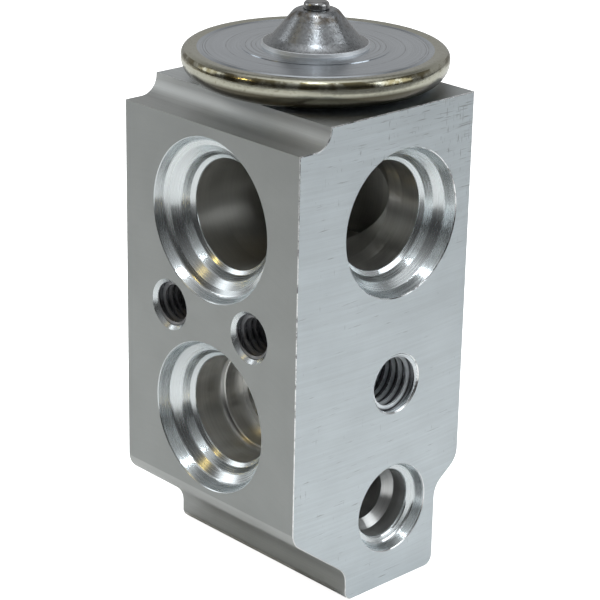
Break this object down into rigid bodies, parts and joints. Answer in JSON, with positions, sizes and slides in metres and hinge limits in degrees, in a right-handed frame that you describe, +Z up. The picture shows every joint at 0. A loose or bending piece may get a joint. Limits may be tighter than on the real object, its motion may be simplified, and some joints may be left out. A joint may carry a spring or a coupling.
{
  "type": "thermostatic expansion valve",
  "caption": "Block-type expansion valve for a vehicle air conditioner: aluminium body with stepped pipe ports at a right angle, under a round welded steel head.",
  "frame": {"origin": "valve axis at the flat foot of the leg, in the mouth of the adjusting screw's bore", "axes": "+Z up along the valve axis to the head; +X out of the side face with the suction outlet and liquid inlet; -Y out of the front face with the suction inlet and liquid outlet"},
  "size_m": [0.0348, 0.0356, 0.0773],
  "materials": {
    "body_aluminium": "sawn ends and milled face, bare",
    "head_steel": "polished stainless sheet",
    "plug_steel": "bright welded plug",
    "diaphragm_steel": "thin rolled spring steel",
    "plate_aluminium": "turned",
    "stem_aluminium": "turned",
    "rod_steel": "ground",
    "ball_steel": "polished",
    "carrier_steel": "turned",
    "spring_steel": "bright spring steel",
    "screw_brass": "turned",
    "seal_rubber": "moulded"
  },
  "bodies": {
    "valve_block": {"valve_body": "body_aluminium", "head_lower_cover": "head_steel", "head_upper_cover": "head_steel", "charge_plug": "plug_steel", "diaphragm": "diaphragm_steel", "stem_seal": "seal_rubber", "seal_retainer": "spring_steel", "head_seal": "seal_rubber", "closing_spring": "spring_steel"},
    "lift_group": {"diaphragm_plate": "plate_aluminium", "sensing_stem": "stem_aluminium", "operating_rod": "rod_steel", "valve_ball": "ball_steel", "ball_carrier": "carrier_steel", "damping_spring": "spring_steel"},
    "screw_travel": {"screw_seal": "seal_rubber"},
    "adjuster": {"adjusting_screw": "screw_brass"}
  },
  "joints": [
    {"name": "valve_lift", "type": "slide", "parent": "valve_block", "child": "lift_group", "axis": [0, 0, -1], "range_m": [0, 0.0008], "stiffness_N_per_m": 600, "springref_m": -0.004, "deforming": ["closing_spring", "diaphragm"]},
    {"name": "adjuster_travel", "type": "slide", "parent": "valve_block", "child": "screw_travel", "axis": [0, 0, 1], "range_m": [-0.0005, 0.0005], "deforming": ["closing_spring"]},
    {"name": "adjuster_turn", "type": "hinge", "parent": "screw_travel", "child": "adjuster", "pos_m": [0, 0, 0], "axis": [0, 0, 1], "range_deg": [-180, 180]}
  ],
  "couplings": [
    {"joint": "adjuster_turn", "follows": "adjuster_travel", "rad_per_m": 6283.2}
  ]
}
